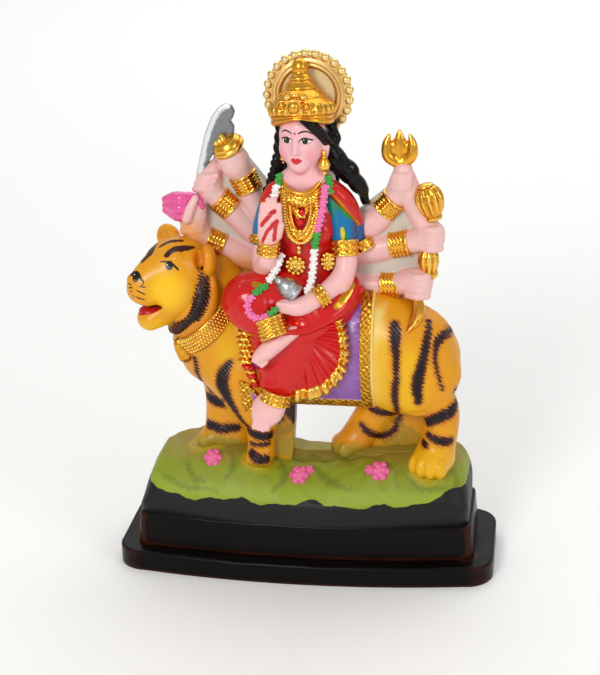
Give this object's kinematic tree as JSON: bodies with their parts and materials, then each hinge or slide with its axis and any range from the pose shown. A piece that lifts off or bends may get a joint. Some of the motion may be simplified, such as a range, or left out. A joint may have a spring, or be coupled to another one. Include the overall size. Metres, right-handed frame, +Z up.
{
  "type": "painted goddess figurine on a tiger",
  "caption": "Painted cast figurine of a crowned multi-armed goddess seated side-saddle on a walking tiger, built together with its grassy mound and two-step plinth.",
  "frame": {"origin": "middle of the plinth's underside", "axes": "+Z up, +X along the tiger towards its tail, the goddess and the plinth's bowed front face -Y"},
  "size_m": [0.16, 0.062, 0.2186],
  "materials": {
    "painted_casting": "hand-painted and airbrushed cast resin, satin to gloss"
  },
  "bodies": {
    "root": {"durga_on_tiger": "painted_casting"}
  },
  "joints": []
}
